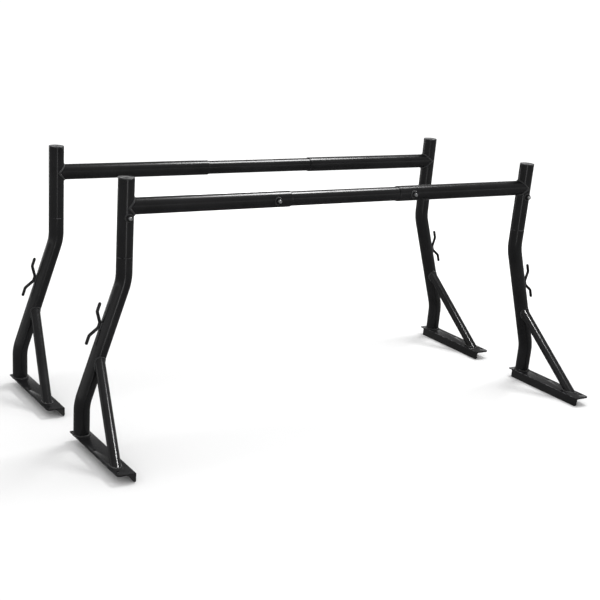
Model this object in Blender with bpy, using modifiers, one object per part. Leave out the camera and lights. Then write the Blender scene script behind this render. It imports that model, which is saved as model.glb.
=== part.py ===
# Two-bar ladder rack for a pickup bed: two alike racks that stand on the bed rails one behind the other.
# Each rack is a crossbar that telescopes in width, on two bent tube legs with steel-angle feet.
# Metres, +Z up. X runs across the truck, Y along it. The flange edges of the four feet stand at z = 0.

import math

import bmesh
import bpy
from mathutils import Vector

# Driving dimensions
TUBE_RADIUS = 0.0483 / 2          # posts, legs and the outer crossbar tubes
TUBE_WALL = 0.002
SLIP_RADIUS = 0.0437 / 2          # tubes that slide inside them
BRACE_RADIUS = 0.0318 / 2
BRACE_WALL = 0.0018
GAP = 0.0003                      # running gap between pieces that touch
SIDES = 24                        # facets around a tube

POST_X = 0.742                    # post centre to the middle of the rack
LEG_OFFSET = 0.125                # how far a foot stands outboard of its post
FOOT_X = POST_X + LEG_OFFSET
RACK_SPACING = 0.531              # front rack to rear rack

FLANGE_DEPTH = 0.030              # top of the base plate above the flange's edge
BAR_Z = FLANGE_DEPTH + 0.672      # crossbar axis
POST_TOP_Z = FLANGE_DEPTH + 0.754
SEAM_Z = FLANGE_DEPTH + 0.528     # where the post sits on the leg
LOW_BEND_Z = FLANGE_DEPTH + 0.096
HIGH_BEND_Z = FLANGE_DEPTH + 0.460
BEND_RADIUS = 0.140
BEND_STEPS = 3

ANGLE_THICKNESS = 0.004
PLATE_FRONT = -0.316              # ends of the base plate, from the leg's axis
PLATE_REAR = 0.032
PLATE_OUTER = 0.0255              # edges of the base plate, from the leg's axis
PLATE_INNER = 0.0325
FLANGE_REAR = 0.015
PLATE_CORNER = 0.013
FLANGE_CORNER = 0.009
REAR_CORNER = 0.003
HOLE_RADIUS = 0.005
REAR_HOLE_RADIUS = 0.004
HOLE_INSET = 0.0125               # outer edge to the middle of the two front holes
REAR_HOLE_INSET = 0.0085
FRONT_HOLE_Y = PLATE_FRONT + 0.026
MIDDLE_HOLE_Y = PLATE_FRONT + 0.188

SPIGOT_BOTTOM_Z = HIGH_BEND_Z + 0.026
SPIGOT_TOP_Z = SEAM_Z + 0.190

BRACE_FOOT_Y = -0.248             # brace foot, from the leg's axis
BRACE_TOP_Z = FLANGE_DEPTH + 0.2425

CLEAT_RADIUS = 0.0048
CLEAT_Z = FLANGE_DEPTH + 0.322
CLEAT_STANDOFF = 0.0245           # horn's centre line, off the leg's skin
CLEAT_HALF_LENGTH = 0.0655
CLEAT_KNEE = 0.037                # where a horn turns parallel to the leg
CLEAT_SEAT = 0.008                # half of the straight part that is welded to the leg
CLEAT_BEND = 0.012

STEP_X = 0.203                    # inner ends of the outer crossbar tubes
CENTRE_BAR_LENGTH = 0.720
BAR_BOLT_X = 0.255
POST_BOLT_Z = FLANGE_DEPTH + 0.644

BOLT_RADIUS = 0.005
BOLT_CHAMFER = 0.0008
NUT_ACROSS_FLATS = 0.017
NUT_HEIGHT = 0.008
BOLT_PROUD = 0.006                # bolt end beyond its nut
BOLT_REACH = TUBE_RADIUS + GAP + NUT_HEIGHT + BOLT_PROUD

CAP_RADIUS = 0.0240
CAP_HEAD = 0.0025
CAP_CHAMFER = 0.0008
CAP_SKIRT = 0.014
CAP_SKIRT_WALL = 0.0018

# Colours: linear RGB, metallic, roughness
BLACK_COAT = ((0.018, 0.018, 0.020), 0.0, 0.38)
BLACK_PLASTIC = ((0.030, 0.030, 0.032), 0.0, 0.30)
BARE_STEEL = ((0.62, 0.62, 0.63), 1.0, 0.30)


def clear_scene():
    for thing in list(bpy.data.objects):
        bpy.data.objects.remove(thing, do_unlink=True)


def make_collection(name):
    group = bpy.data.collections.new(name)
    bpy.context.scene.collection.children.link(group)
    return group


clear_scene()
parts = make_collection("ladder_rack")
cutters = make_collection("ladder_rack_cutters")


def finish_of(name, finish):
    colour, metallic, roughness = finish
    material = bpy.data.materials.new(name)
    material.use_nodes = True
    shader = material.node_tree.nodes["Principled BSDF"]
    shader.inputs["Base Color"].default_value = (*colour, 1.0)
    shader.inputs["Metallic"].default_value = metallic
    shader.inputs["Roughness"].default_value = roughness
    return material


def add_part(name, mesh, parent, finish):
    # Puts a mesh in the parts collection as one named sub-part with its own material.
    mesh.materials.clear()
    mesh.materials.append(finish_of(name + "_finish", finish))
    part = bpy.data.objects.new(name, mesh)
    part.parent = parent
    parts.objects.link(part)
    return part


def add_cutter(name, mesh, parent):
    cutter = bpy.data.objects.new(name, mesh)
    cutter.parent = parent
    cutter.hide_render = True
    cutter.display_type = "WIRE"
    cutters.objects.link(cutter)
    return cutter


def cut(part, tool, operation="DIFFERENCE"):
    boolean = part.modifiers.new(tool.name, "BOOLEAN")
    boolean.operation = operation
    boolean.object = tool


def aim(thing, start, end):
    # Puts an object's local Z on the line from start to end, its origin at start.
    thing.location = start
    direction = Vector(end) - Vector(start)
    thing.rotation_euler = direction.to_track_quat("Z", "Y").to_euler()


def turned_mesh(name, profile, closed):
    # A profile of (radius, height) points, for a Screw modifier about local Z.
    mesh = bpy.data.meshes.new(name)
    vertices = [(radius, 0.0, height) for radius, height in profile]
    edges = [(i, i + 1) for i in range(len(profile) - 1)]
    if closed:
        edges.append((len(profile) - 1, 0))
    mesh.from_pydata(vertices, edges, [])
    return mesh


def turn(thing, steps):
    screw = thing.modifiers.new("turn", "SCREW")
    screw.angle = math.tau
    screw.steps = steps
    screw.render_steps = steps
    screw.use_merge_vertices = True
    screw.merge_threshold = 0.00001
    screw.use_smooth_shade = True


def tube_profile(radius, wall, length):
    # Down the outer side and up the bore.
    return [(radius, length), (radius, 0.0), (radius - wall, 0.0), (radius - wall, length)]


def rod_profile(radius, length, chamfer=0.0):
    # From the top centre, down the outer side, to the bottom centre.
    if chamfer == 0.0:
        return [(0.0, length), (radius, length), (radius, 0.0), (0.0, 0.0)]
    return [
        (0.0, length),
        (radius - chamfer, length),
        (radius, length - chamfer),
        (radius, chamfer),
        (radius - chamfer, 0.0),
        (0.0, 0.0),
    ]


def tube(name, start, end, radius, wall, parent, finish=BLACK_COAT):
    length = (Vector(end) - Vector(start)).length
    part = add_part(name, turned_mesh(name, tube_profile(radius, wall, length), True), parent, finish)
    aim(part, start, end)
    turn(part, SIDES)
    return part


def rod_cutter(name, start, end, radius, parent, steps=SIDES):
    length = (Vector(end) - Vector(start)).length
    cutter = add_cutter(name, turned_mesh(name, rod_profile(radius, length), False), parent)
    aim(cutter, start, end)
    turn(cutter, steps)
    return cutter


def fillet(before, corner, after, radius, steps):
    # Points of the arc that rounds one corner of a path.
    before, corner, after = Vector(before), Vector(corner), Vector(after)
    back = (before - corner).normalized()
    ahead = (after - corner).normalized()
    half_angle = back.angle(ahead) / 2
    reach = radius / math.tan(half_angle)
    centre = corner + (back + ahead).normalized() * (radius / math.sin(half_angle))
    first = corner + back * reach - centre
    last = corner + ahead * reach - centre
    sweep = first.angle(last)
    points = []
    for i in range(steps + 1):
        part_way = i / steps
        first_share = math.sin((1 - part_way) * sweep) / math.sin(sweep)
        last_share = math.sin(part_way * sweep) / math.sin(sweep)
        points.append(centre + first * first_share + last * last_share)
    return points


def rounded_path(corners, radii, steps):
    # An open path through corners, its inner corners rounded.
    path = [Vector(corners[0])]
    for i in range(1, len(corners) - 1):
        path += fillet(corners[i - 1], corners[i], corners[i + 1], radii[i - 1], steps)
    path.append(Vector(corners[-1]))
    return path


def rounded_outline(corners, steps):
    # A closed outline; each corner is (x, y, radius), and a radius of 0 stays sharp.
    outline = []
    count = len(corners)
    for i, (x, y, radius) in enumerate(corners):
        if radius == 0.0:
            outline.append(Vector((x, y, 0.0)))
            continue
        before = (*corners[i - 1][:2], 0.0)
        after = (*corners[(i + 1) % count][:2], 0.0)
        outline += fillet(before, (x, y, 0.0), after, radius, steps)
    return outline


def circle_outline(x, y, radius, steps):
    turns = [math.tau * i / steps for i in range(steps)]
    return [Vector((x + radius * math.cos(a), y + radius * math.sin(a), 0.0)) for a in turns]


def mesh_from_curve(name, data):
    # Evaluates a curve into a closed mesh and drops the curve.
    guide = bpy.data.objects.new(name + "_curve", data)
    bpy.context.scene.collection.objects.link(guide)
    bpy.context.view_layer.update()
    evaluated = guide.evaluated_get(bpy.context.evaluated_depsgraph_get())
    mesh = bpy.data.meshes.new_from_object(evaluated)
    mesh.name = name
    bpy.data.objects.remove(guide, do_unlink=True)
    bpy.data.curves.remove(data)
    work = bmesh.new()
    work.from_mesh(mesh)
    bmesh.ops.remove_doubles(work, verts=work.verts, dist=0.000005)
    work.to_mesh(mesh)
    work.free()
    return mesh


def plate_mesh(name, outlines, thickness):
    # A flat plate: the first outline is its edge, the others are holes.
    data = bpy.data.curves.new(name, "CURVE")
    data.dimensions = "2D"
    data.fill_mode = "BOTH"
    data.extrude = thickness / 2
    for outline in outlines:
        spline = data.splines.new("POLY")
        spline.points.add(len(outline) - 1)
        for point, place in zip(spline.points, outline):
            point.co = (*place, 1.0)
        spline.use_cyclic_u = True
    return mesh_from_curve(name, data)


def bent_rod_mesh(name, path, radius, resolution, capped):
    data = bpy.data.curves.new(name, "CURVE")
    data.dimensions = "3D"
    data.fill_mode = "FULL"
    data.bevel_depth = radius
    data.bevel_resolution = resolution
    data.use_fill_caps = capped
    spline = data.splines.new("POLY")
    spline.points.add(len(path) - 1)
    for point, place in zip(spline.points, path):
        point.co = (*place, 1.0)
    mesh = mesh_from_curve(name, data)
    mesh.shade_smooth()
    mesh.set_sharp_from_angle(angle=math.radians(40))
    return mesh


def leg_path(side):
    corners = [
        (side * FOOT_X, 0.0, FLANGE_DEPTH + GAP),
        (side * FOOT_X, 0.0, LOW_BEND_Z),
        (side * POST_X, 0.0, HIGH_BEND_Z),
        (side * POST_X, 0.0, SEAM_Z),
    ]
    return rounded_path(corners, (BEND_RADIUS, BEND_RADIUS), BEND_STEPS)


def leg_axis_at(side, z):
    # A point on the slanted stretch of the leg's axis.
    share = (HIGH_BEND_Z - z) / (HIGH_BEND_Z - LOW_BEND_Z)
    return Vector((side * (POST_X + LEG_OFFSET * share), 0.0, z))


def base_angle(name, side, rack):
    outer = side * (FOOT_X + PLATE_OUTER)
    inner = side * (FOOT_X - PLATE_INNER)
    edge = rounded_outline(
        [
            (outer, PLATE_FRONT, PLATE_CORNER),
            (inner, PLATE_FRONT, 0.0),
            (inner, PLATE_REAR, REAR_CORNER),
            (outer, PLATE_REAR, REAR_CORNER),
        ],
        3,
    )
    hole_x = outer - side * HOLE_INSET
    rear_hole_x = outer - side * REAR_HOLE_INSET
    rear_hole_y = PLATE_REAR - REAR_HOLE_INSET
    holes = [
        circle_outline(hole_x, FRONT_HOLE_Y, HOLE_RADIUS, 12),
        circle_outline(hole_x, MIDDLE_HOLE_Y, HOLE_RADIUS, 12),
        circle_outline(rear_hole_x, rear_hole_y, REAR_HOLE_RADIUS, 12),
    ]
    part = add_part(name, plate_mesh(name, [edge] + holes, ANGLE_THICKNESS), rack, BLACK_COAT)
    part.location = (0.0, 0.0, FLANGE_DEPTH - ANGLE_THICKNESS / 2)
    # The flange is drawn in its own plane, Y along the rack and Z up, and turned upright.
    flange_top = FLANGE_DEPTH - ANGLE_THICKNESS / 2
    flange = rounded_outline(
        [
            (PLATE_FRONT, 0.0, FLANGE_CORNER),
            (FLANGE_REAR, 0.0, REAR_CORNER),
            (FLANGE_REAR, flange_top, 0.0),
            (PLATE_FRONT, flange_top, 0.0),
        ],
        3,
    )
    tool = add_cutter(name + "_flange", plate_mesh(name + "_flange", [flange], ANGLE_THICKNESS), rack)
    tool.rotation_euler = (math.pi / 2, 0.0, math.pi / 2)
    tool.location = (inner + side * ANGLE_THICKNESS / 2, 0.0, 0.0)
    cut(part, tool, "UNION")
    return part


def leg_tube(name, side, rack):
    mesh = bent_rod_mesh(name, leg_path(side), TUBE_RADIUS, (SIDES - 4) // 2, False)
    part = add_part(name, mesh, rack, BLACK_COAT)
    wall = part.modifiers.new("wall", "SOLIDIFY")
    wall.thickness = TUBE_WALL
    wall.offset = -1.0
    wall.use_even_offset = True
    return part


def brace_tube(name, side, rack):
    foot = Vector((side * FOOT_X, BRACE_FOOT_Y, FLANGE_DEPTH))
    top = leg_axis_at(side, BRACE_TOP_Z)
    below = foot + (foot - top).normalized() * 2 * BRACE_RADIUS
    part = tube(name, below, top, BRACE_RADIUS, BRACE_WALL, rack)
    # The foot is cut flat on the plate, and the top is coped to the leg.
    size = 4 * BRACE_RADIUS
    outline = [Vector((x * size, y * size, 0.0)) for x, y in ((-1, -1), (1, -1), (1, 1), (-1, 1))]
    ground = add_cutter(name + "_foot_cut", plate_mesh(name + "_foot_cut", [outline], size), rack)
    ground.location = (foot.x, foot.y, FLANGE_DEPTH + GAP - size / 2)
    cut(part, ground)
    envelope = bent_rod_mesh(name + "_cope", leg_path(side), TUBE_RADIUS + GAP, (SIDES - 4) // 2, True)
    cut(part, add_cutter(name + "_cope", envelope, rack))
    return part


def rope_cleat(name, side, rack):
    # A rod bent to two horns, drawn along the leg (up) and off its outboard skin (out).
    middle = leg_axis_at(side, CLEAT_Z)
    up = (leg_axis_at(side, HIGH_BEND_Z) - leg_axis_at(side, LOW_BEND_Z)).normalized()
    out = Vector((side * up.z, 0.0, -side * up.x))
    seat = TUBE_RADIUS + GAP + CLEAT_RADIUS
    horn = TUBE_RADIUS + CLEAT_STANDOFF
    shape = [
        (horn, CLEAT_HALF_LENGTH),
        (horn, CLEAT_KNEE),
        (seat, CLEAT_SEAT),
        (seat, -CLEAT_SEAT),
        (horn, -CLEAT_KNEE),
        (horn, -CLEAT_HALF_LENGTH),
    ]
    corners = [middle + out * away + up * along for away, along in shape]
    path = rounded_path(corners, (CLEAT_BEND,) * 4, 2)
    return add_part(name, bent_rod_mesh(name, path, CLEAT_RADIUS, 2, True), rack, BLACK_COAT)


def set_bolt(prefix, tube_part, tube_axis, facing, rack):
    # A hex nut welded on a tube's skin, and the bolt through it that clamps the tube inside.
    axis = Vector(tube_axis)
    out = Vector((0.0, facing, 0.0))
    nut_radius = NUT_ACROSS_FLATS / 2 / math.cos(math.pi / 6)
    bore = BOLT_RADIUS + GAP
    nut_name = prefix + "_nut"
    outlines = [circle_outline(0.0, 0.0, nut_radius, 6), circle_outline(0.0, 0.0, bore, 12)]
    nut = add_part(nut_name, plate_mesh(nut_name, outlines, NUT_HEIGHT), rack, BLACK_COAT)
    nut_middle = axis + out * (TUBE_RADIUS + GAP + NUT_HEIGHT / 2)
    aim(nut, nut_middle, nut_middle + out)
    start = axis + out * (SLIP_RADIUS + GAP)
    end = axis + out * BOLT_REACH
    bolt_name = prefix + "_bolt"
    profile = rod_profile(BOLT_RADIUS, (end - start).length, BOLT_CHAMFER)
    bolt = add_part(bolt_name, turned_mesh(bolt_name, profile, False), rack, BARE_STEEL)
    aim(bolt, start, end)
    turn(bolt, 12)
    hole = rod_cutter(prefix + "_hole", axis, end, bore, rack, 12)
    cut(tube_part, hole)


def post_cap(name, side, rack):
    # A plug: a flat head on the post's end and a skirt inside it.
    skirt = SLIP_RADIUS
    profile = [
        (0.0, CAP_HEAD),
        (CAP_RADIUS - CAP_CHAMFER, CAP_HEAD),
        (CAP_RADIUS, CAP_HEAD - CAP_CHAMFER),
        (CAP_RADIUS, 0.0),
        (skirt, 0.0),
        (skirt, -CAP_SKIRT),
        (skirt - CAP_SKIRT_WALL, -CAP_SKIRT),
        (skirt - CAP_SKIRT_WALL, 0.0),
        (0.0, 0.0),
    ]
    part = add_part(name, turned_mesh(name, profile, False), rack, BLACK_PLASTIC)
    part.location = (side * POST_X, 0.0, POST_TOP_Z - CAP_HEAD)
    turn(part, SIDES)
    return part


def build_rack(rack_name, place_y, facing):
    # One rack. facing is -1 or +1: the side of the crossbar that its set bolts are on.
    rack = bpy.data.objects.new(rack_name, None)
    rack.location = (0.0, place_y, 0.0)
    parts.objects.link(rack)
    half_bar = CENTRE_BAR_LENGTH / 2
    tube(rack_name + "_centre_bar", (-half_bar, 0, BAR_Z), (half_bar, 0, BAR_Z), SLIP_RADIUS, TUBE_WALL, rack)
    for side_name, side in (("left", -1), ("right", 1)):
        prefix = rack_name + "_" + side_name
        post_x = side * POST_X
        base_angle(prefix + "_base_angle", side, rack)
        leg_tube(prefix + "_leg_tube", side, rack)
        brace_tube(prefix + "_brace_tube", side, rack)
        rope_cleat(prefix + "_rope_cleat", side, rack)
        spigot_ends = ((post_x, 0, SPIGOT_BOTTOM_Z), (post_x, 0, SPIGOT_TOP_Z))
        tube(prefix + "_leg_spigot", *spigot_ends, SLIP_RADIUS, TUBE_WALL, rack)
        post_ends = ((post_x, 0, SEAM_Z + GAP), (post_x, 0, POST_TOP_Z - CAP_HEAD - GAP))
        post = tube(prefix + "_post_tube", *post_ends, TUBE_RADIUS, TUBE_WALL, rack)
        bar_ends = ((post_x, 0, BAR_Z), (side * STEP_X, 0, BAR_Z))
        bar = tube(prefix + "_side_bar", *bar_ends, TUBE_RADIUS, TUBE_WALL, rack)
        # The side bar's outer end is coped to the post.
        cope_ends = ((post_x, 0, BAR_Z - 2 * TUBE_RADIUS), (post_x, 0, BAR_Z + 2 * TUBE_RADIUS))
        cut(bar, rod_cutter(prefix + "_cope", *cope_ends, TUBE_RADIUS + GAP, rack))
        post_cap(prefix + "_post_cap", side, rack)
        set_bolt(prefix + "_post_set", post, (post_x, 0, POST_BOLT_Z), facing, rack)
        set_bolt(prefix + "_bar_set", bar, (side * BAR_BOLT_X, 0, BAR_Z), facing, rack)


# The pair is centred on its own length, from the front plates' ends to the rear bolts' ends.
middle_y = (PLATE_FRONT + RACK_SPACING + BOLT_REACH) / 2
build_rack("front", -middle_y, -1)
build_rack("rear", RACK_SPACING - middle_y, 1)
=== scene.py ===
# Ladder rack for a pickup bed: two racks of bent black tube on angle-iron feet, each with a crossbar
# that slides out to width. Every tube, foot, cleat, bead, nut, screw and cap is made fine here.
import math

import bmesh
import bpy
from mathutils import Matrix, Vector


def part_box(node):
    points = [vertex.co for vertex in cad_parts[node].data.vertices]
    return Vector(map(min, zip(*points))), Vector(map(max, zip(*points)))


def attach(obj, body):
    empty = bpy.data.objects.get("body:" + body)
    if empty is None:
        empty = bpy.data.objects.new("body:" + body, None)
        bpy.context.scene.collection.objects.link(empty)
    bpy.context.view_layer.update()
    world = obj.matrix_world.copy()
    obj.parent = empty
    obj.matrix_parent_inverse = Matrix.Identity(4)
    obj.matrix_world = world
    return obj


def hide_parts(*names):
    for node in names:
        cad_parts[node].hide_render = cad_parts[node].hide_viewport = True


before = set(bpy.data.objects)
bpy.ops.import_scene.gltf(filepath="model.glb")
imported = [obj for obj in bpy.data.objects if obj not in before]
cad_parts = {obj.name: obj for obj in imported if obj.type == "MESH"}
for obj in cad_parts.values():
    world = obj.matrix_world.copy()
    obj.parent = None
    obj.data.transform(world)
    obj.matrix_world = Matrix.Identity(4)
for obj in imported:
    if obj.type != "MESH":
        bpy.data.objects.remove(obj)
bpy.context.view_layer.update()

racks = {"front": -1, "rear": 1}      # the way each rack's set screws face, along Y
sides = {"left": -1, "right": 1}      # which end of the rack, along X
# each leg with its post: the start of its nodes' names, and those two directions
uprights = [(f"{rack}_{side}", facing, way) for rack, facing in racks.items() for side, way in sides.items()]


# small helpers for node trees

def addNode(tree, kind, spot, **settings):
    node = tree.nodes.new(kind)
    node.location = (spot[0] * 190, spot[1] * -180)
    for key, value in settings.items():
        setattr(node, key, value)
    return node


def fill(node, values):
    # values for a node's own sockets, by their labels
    for label, value in values.items():
        node.inputs[label].default_value = value


def wire(tree, source, target, sourceSocket=0, targetSocket=0):
    tree.links.new(source.outputs[sourceSocket], target.inputs[targetSocket])


def newMaterial(name):
    mat = bpy.data.materials.new(name)
    mat.use_nodes = True
    return mat, mat.node_tree, mat.node_tree.nodes["Principled BSDF"]


def noiseFrom(tree, coords, spot, scale, detail=3.0, rough=0.5, stretch=None):
    # a noise in metres, stretched by its own Mapping when it needs a direction
    noise = addNode(tree, "ShaderNodeTexNoise", spot)
    fill(noise, {"Scale": scale, "Detail": detail, "Roughness": rough})
    if stretch:
        mapping = addNode(tree, "ShaderNodeMapping", (spot[0] - 1, spot[1] + 0.3))
        fill(mapping, {"Scale": stretch})
        wire(tree, coords, mapping, "Object", "Vector")
        wire(tree, mapping, noise, "Vector", "Vector")
    else:
        wire(tree, coords, noise, "Object", "Vector")
    return noise


def ramp(tree, source, spot, stops, sourceSocket="Fac"):
    node = addNode(tree, "ShaderNodeValToRGB", spot)
    wire(tree, source, node, sourceSocket, "Fac")
    while len(node.color_ramp.elements) < len(stops):
        node.color_ramp.elements.new(0.5)
    for element, (place, value) in zip(node.color_ramp.elements, stops):
        element.position = place
        shade = value if isinstance(value, tuple) else (value, value, value)
        element.color = (*shade, 1.0)
    return node


def bumpFrom(tree, height, spot, strength, distance):
    bump = addNode(tree, "ShaderNodeBump", spot)
    fill(bump, {"Strength": strength, "Distance": distance})
    wire(tree, height, bump, "Fac", "Height")
    return bump


# finishes

coat = dict(
    deep=(0.0045, 0.0045, 0.0048),    # the black itself
    paler=(0.0082, 0.0082, 0.0088),    # where the powder went on thinner
    edgeHighlight=(0.150, 0.150, 0.155),     # a painted highlight, laid on the narrow faces that round the edges
    roughLow=0.16, roughHigh=0.26,
    peel=0.00006, grain=0.00001,      # depth of the orange peel and of the powder grain, metres
    specular=0.42,
)
# the beads' coat is rougher, and its black is painted lighter than the tubes' as a painted highlight, so beads
# come out brighter than the tubes
beadCoat = dict(
    coat, deep=(0.009, 0.009, 0.0095), paler=(0.034, 0.034, 0.035),
    roughLow=0.26, roughHigh=0.40, specular=0.75,
)


def powderCoat(name, look, drawn=0.0):
    # semi-gloss black powder coat; drawn adds the lengthwise scuffs of a tube that slides in another
    mat, tree, shader = newMaterial(name)
    coords = addNode(tree, "ShaderNodeTexCoord", (-7, 0))
    clouds = noiseFrom(tree, coords, (-5, -1), 9.0, 4.0, 0.6)
    specks = noiseFrom(tree, coords, (-5, 0), 420.0, 2.0, 0.7)
    colour = ramp(tree, clouds, (-4, -1), [(0.35, look["deep"]), (0.70, look["paler"])])
    # painted highlight on edges: a light grey laid on the narrow faces that markEdges marks, broken up by a
    # coarse noise
    edgeHighlightFaces = addNode(tree, "ShaderNodeAttribute", (-5, 2), attribute_name="edgeHighlightFaces")
    edgeBreakup = noiseFrom(tree, coords, (-5, 3), 60.0, 5.0, 0.65)
    edgeBreakupRamp = ramp(tree, edgeBreakup, (-4, 3), [(0.46, 0.0), (0.66, 1.0)])
    edgeHighlightMask = addNode(tree, "ShaderNodeMath", (-3, 2), operation="MULTIPLY")
    wire(tree, edgeHighlightFaces, edgeHighlightMask, "Fac", 0)
    wire(tree, edgeBreakupRamp, edgeHighlightMask, "Color", 1)
    mixed = addNode(tree, "ShaderNodeMix", (-2, -1), data_type="RGBA")
    fill(mixed, {"B": (*look["edgeHighlight"], 1.0)})
    wire(tree, edgeHighlightMask, mixed, 0, "Factor")
    wire(tree, colour, mixed, "Color", "A")
    wire(tree, mixed, shader, "Result", "Base Color")
    # sheen: broad clouds of gloss with a fine speckle
    sheen = addNode(tree, "ShaderNodeMix", (-4, 0.6), data_type="FLOAT")
    fill(sheen, {"Factor": 0.35})
    wire(tree, clouds, sheen, "Fac", "A")
    wire(tree, specks, sheen, "Fac", "B")
    gloss = addNode(tree, "ShaderNodeMapRange", (-3, 0.6))
    fill(gloss, {"From Min": 0.3, "From Max": 0.7, "To Min": look["roughLow"], "To Max": look["roughHigh"]})
    wire(tree, sheen, gloss, "Result", "Value")
    roughness = gloss
    if drawn:
        scuffs = noiseFrom(tree, coords, (-5, 4), 26.0, 6.0, 0.7, stretch=(0.35, 22.0, 22.0))
        scuffed = ramp(tree, scuffs, (-4, 4), [(0.50, 0.0), (0.68, drawn)])
        roughness = addNode(tree, "ShaderNodeMath", (-2, 0.6), operation="ADD")
        wire(tree, gloss, roughness, "Result", 0)
        wire(tree, scuffed, roughness, "Color", 1)
    wire(tree, roughness, shader, 0, "Roughness")
    # relief: orange peel about a millimetre across, powder grain over it
    peel = noiseFrom(tree, coords, (-5, 5), 620.0, 1.0, 0.4)
    grain = noiseFrom(tree, coords, (-5, 6), 2600.0, 1.0, 0.5)
    low = bumpFrom(tree, peel, (-3, 5), 0.55, look["peel"])
    high = bumpFrom(tree, grain, (-2, 5), 0.40, look["grain"])
    wire(tree, low, high, "Normal", "Normal")
    wire(tree, high, shader, "Normal", "Normal")
    fill(shader, {"Specular IOR Level": look["specular"]})
    return mat


def mouldedPlastic(name):
    # black polythene plug: faintly clouded, with a finely eroded skin
    mat, tree, shader = newMaterial(name)
    coords = addNode(tree, "ShaderNodeTexCoord", (-6, 0))
    cloud = noiseFrom(tree, coords, (-4, 0), 45.0, 3.0)
    colour = ramp(tree, cloud, (-3, 0), [(0.35, (0.020, 0.020, 0.021)), (0.70, (0.032, 0.032, 0.034))])
    rough = ramp(tree, cloud, (-3, 1), [(0.30, 0.20), (0.75, 0.29)])
    skin = noiseFrom(tree, coords, (-4, 2), 1500.0, 2.0, 0.6)
    bump = bumpFrom(tree, skin, (-2, 2), 0.35, 0.00003)
    wire(tree, colour, shader, "Color", "Base Color")
    wire(tree, rough, shader, "Color", "Roughness")
    wire(tree, bump, shader, "Normal", "Normal")
    fill(shader, {"Specular IOR Level": 0.62})
    return mat


def platedSteel(name):
    # zinc-plated screw: bright, faintly clouded, with lathe-fine grain
    mat, tree, shader = newMaterial(name)
    coords = addNode(tree, "ShaderNodeTexCoord", (-6, 0))
    cloud = noiseFrom(tree, coords, (-4, 0), 160.0, 4.0, 0.6)
    colour = ramp(tree, cloud, (-3, 0), [(0.30, (0.56, 0.57, 0.59)), (0.70, (0.78, 0.78, 0.76))])
    rough = ramp(tree, cloud, (-3, 1), [(0.30, 0.20), (0.75, 0.38)])
    grain = noiseFrom(tree, coords, (-4, 2), 900.0, 3.0, 0.7, stretch=(1.0, 4.0, 1.0))
    bump = bumpFrom(tree, grain, (-2, 2), 0.30, 0.00003)
    wire(tree, colour, shader, "Color", "Base Color")
    wire(tree, rough, shader, "Color", "Roughness")
    wire(tree, bump, shader, "Normal", "Normal")
    fill(shader, {"Metallic": 1.0})
    return mat


blackCoat = powderCoat("blackPowderCoat", coat)
slideCoat = powderCoat("scuffedSlideCoat", coat, drawn=0.16)
weldCoat = powderCoat("weldCoatPaintedHighlight", beadCoat)
plugPlastic = mouldedPlastic("blackPlugPlastic")
brightScrew = platedSteel("zincScrewSteel")
print("finishes: coat, slide coat, weld coat, plug plastic, screw steel")


# geometry node trees

def newTree(name, inputs):
    tree = bpy.data.node_groups.new(name, "GeometryNodeTree")
    tree.interface.new_socket("Geometry", in_out="INPUT", socket_type="NodeSocketGeometry")
    tree.interface.new_socket("Geometry", in_out="OUTPUT", socket_type="NodeSocketGeometry")
    for label, kind, value in inputs:
        socket = tree.interface.new_socket(label, in_out="INPUT", socket_type="NodeSocket" + kind)
        if value is not None:
            socket.default_value = value
    return tree, addNode(tree, "NodeGroupInput", (-6, 0)), addNode(tree, "NodeGroupOutput", (6, 0))


def sweepTree():
    # a round section swept along a path, thinned or thickened by the path's own "swell"
    tree, given, result = newTree("sweptTube", [
        ("Radius", "Float", 0.024), ("Facets", "Int", 64),
        ("Solid ends", "Bool", False), ("Finish", "Material", None)])
    line = addNode(tree, "GeometryNodeMeshToCurve", (-4, 0))
    ring = addNode(tree, "GeometryNodeCurvePrimitiveCircle", (-4, 1))
    swell = addNode(tree, "GeometryNodeInputNamedAttribute", (-4, 2), data_type="FLOAT")
    fill(swell, {"Name": "swell"})
    skin = addNode(tree, "GeometryNodeCurveToMesh", (-2, 0))
    smooth = addNode(tree, "GeometryNodeSetShadeSmooth", (0, 0))
    real = addNode(tree, "GeometryNodeRealizeInstances", (2, 0))
    paint = addNode(tree, "GeometryNodeSetMaterial", (4, 0))
    wire(tree, given, line, "Geometry", "Mesh")
    wire(tree, given, ring, "Radius", "Radius")
    wire(tree, given, ring, "Facets", "Resolution")
    wire(tree, line, skin, "Curve", "Curve")
    wire(tree, ring, skin, "Curve", "Profile Curve")
    wire(tree, swell, skin, "Attribute", "Scale")
    wire(tree, given, skin, "Solid ends", "Fill Caps")
    wire(tree, skin, smooth, "Mesh", "Geometry")
    wire(tree, smooth, real, "Geometry", "Geometry")
    wire(tree, real, paint, "Geometry", "Geometry")
    wire(tree, given, paint, "Finish", "Material")
    wire(tree, paint, result, "Geometry", "Geometry")
    return tree


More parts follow.
